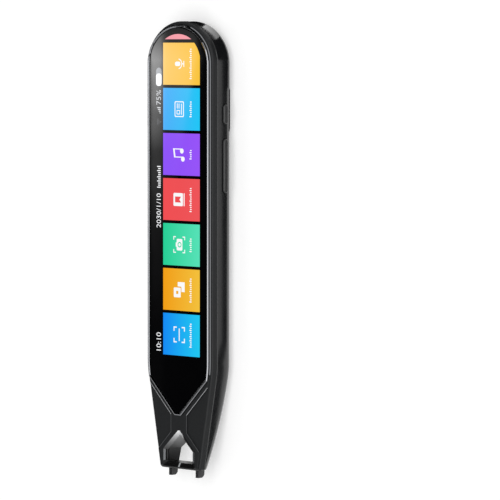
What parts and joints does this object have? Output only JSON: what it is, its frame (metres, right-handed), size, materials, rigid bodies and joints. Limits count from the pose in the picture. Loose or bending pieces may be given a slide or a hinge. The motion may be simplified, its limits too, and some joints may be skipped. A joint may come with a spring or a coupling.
{
  "type": "scanning translator pen",
  "caption": "Flat scanning translator pen with a long touch screen, side keys, a see-through window in its tapered nose and a sprung two-prong scan trigger",
  "frame": {"origin": "middle of the pen's length and width, on the surface that it lies on, back down", "axes": "+X to the pen's right seen from its screen, +Y towards the round crown, +Z out of the screen"},
  "size_m": [0.0332, 0.1538, 0.0116],
  "materials": {
    "shell": "satin moulded black",
    "bezel": "polished black",
    "glass": "black-bordered cover glass",
    "adhesive": "foam tape",
    "display": "display module",
    "steel": "stamped steel",
    "liner": "gloss black moulding",
    "light_guide": "frosted light guide",
    "led": "lamp strip",
    "scan_lamp": "smoked epoxy over lamps that are off",
    "prong": "moulded grey-black",
    "key": "satin black key",
    "board": "green solder mask",
    "chip": "epoxy package",
    "flex": "amber polyimide",
    "spring": "spring wire",
    "screw": "zinc plated",
    "battery": "foil pouch cell",
    "lens": "coated lens",
    "camera": "lens barrel",
    "island": "gloss black plate",
    "ring": "anodised ring",
    "diffuser": "milky diffuser",
    "port": "drawn steel shell",
    "speaker": "speaker box"
  },
  "bodies": {
    "pen": {"back_cover": "shell", "front_frame": "shell", "bezel_ring": "bezel", "cover_glass": "glass", "display_tape": "adhesive", "display_panel": "display", "display_plate": "steel", "display_flex": "flex", "window_liner": "liner", "window_tick": "light_guide", "scan_light_left": "light_guide", "scan_light_right": "light_guide", "scan_leds": "scan_lamp", "trigger_spring": "spring", "trigger_switch": "chip", "scan_camera": "camera", "scan_lens": "lens", "scan_board": "board", "scan_flex": "flex", "right_key_flex": "flex", "left_key_flex": "flex", "right_key_bracket": "steel", "left_key_bracket": "steel", "main_board": "board", "board_screws": "screw", "shield_can": "steel", "processor": "chip", "memory_chip": "chip", "power_chip": "chip", "board_connectors": "chip", "antenna_flex": "flex", "microphone": "steel", "usb_port": "port", "battery": "battery", "battery_pad": "adhesive", "battery_lead": "flex", "speaker": "speaker", "speaker_gasket": "adhesive", "speaker_mesh": "steel", "camera_island": "island", "rear_camera_ring": "ring", "rear_camera_glass": "lens", "rear_camera": "camera", "flash_lens": "diffuser", "flash_led": "led"},
    "trigger": {"trigger_fork": "prong"},
    "power": {"power_key": "key"},
    "volume": {"volume_key": "key"},
    "voice": {"voice_key": "key"}
  },
  "joints": [
    {"name": "trigger_slide", "type": "slide", "parent": "pen", "child": "trigger", "axis": [0, 1, 0], "range_m": [0, 0.0008], "stiffness_N_per_m": 500, "springref_m": -0.0006, "deforming": ["trigger_spring"]},
    {"name": "power_press", "type": "slide", "parent": "pen", "child": "power", "axis": [-1, 0, 0], "range_m": [0, 0.00035], "stiffness_N_per_m": 900, "springref_m": -0.0004},
    {"name": "volume_rock", "type": "hinge", "parent": "pen", "child": "volume", "pos_m": [0.01425, 0.02847, 0.00485], "axis": [0, 0, 1], "range_deg": [-2, 2], "stiffness_Nm_per_rad": 0.1},
    {"name": "voice_press", "type": "slide", "parent": "pen", "child": "voice", "axis": [1, 0, 0], "range_m": [0, 0.00035], "stiffness_N_per_m": 900, "springref_m": -0.0004}
  ]
}
